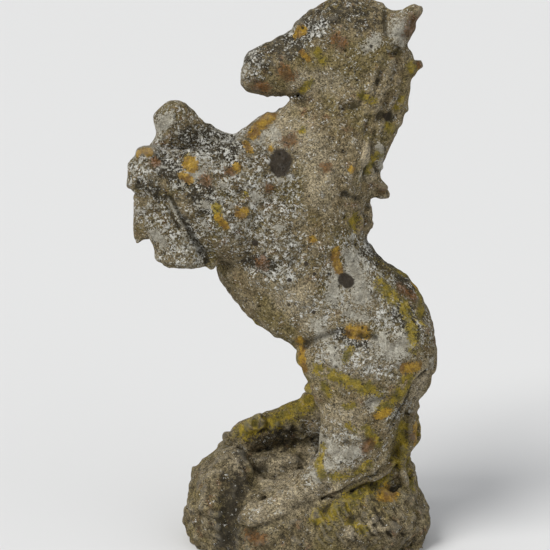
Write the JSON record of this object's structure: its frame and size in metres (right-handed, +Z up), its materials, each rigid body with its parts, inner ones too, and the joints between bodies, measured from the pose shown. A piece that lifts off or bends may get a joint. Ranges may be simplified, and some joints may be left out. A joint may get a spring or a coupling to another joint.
{
  "type": "garden statue",
  "caption": "Cast-stone garden ornament of a rearing horse on a rock base, with a bent steel bar armature cast inside.",
  "frame": {"origin": "centre of the base's flat underside", "axes": "+Z up, the horse faces -X, its left side is towards -Y"},
  "size_m": [0.3081, 0.159, 0.5533],
  "materials": {
    "cast_stone": "weathered cast concrete with lichen",
    "base_stone": "weathered coarse cast concrete, damp and mossy",
    "rusted_steel": "hot rolled bar with a skin of rust",
    "tie_wire": "black annealed wire"
  },
  "bodies": {
    "root": {"horse_casting": "cast_stone", "base_casting": "base_stone", "spine_bar": "rusted_steel", "head_bar": "rusted_steel", "left_hind_bar": "rusted_steel", "right_hind_bar": "rusted_steel", "left_foreleg_bar": "rusted_steel", "right_foreleg_bar": "rusted_steel", "shoulder_cross_bar": "rusted_steel", "hip_cross_bar": "rusted_steel", "mat_long_bars": "rusted_steel", "mat_cross_bars": "rusted_steel", "tie_wires": "tie_wire"}
  },
  "joints": []
}
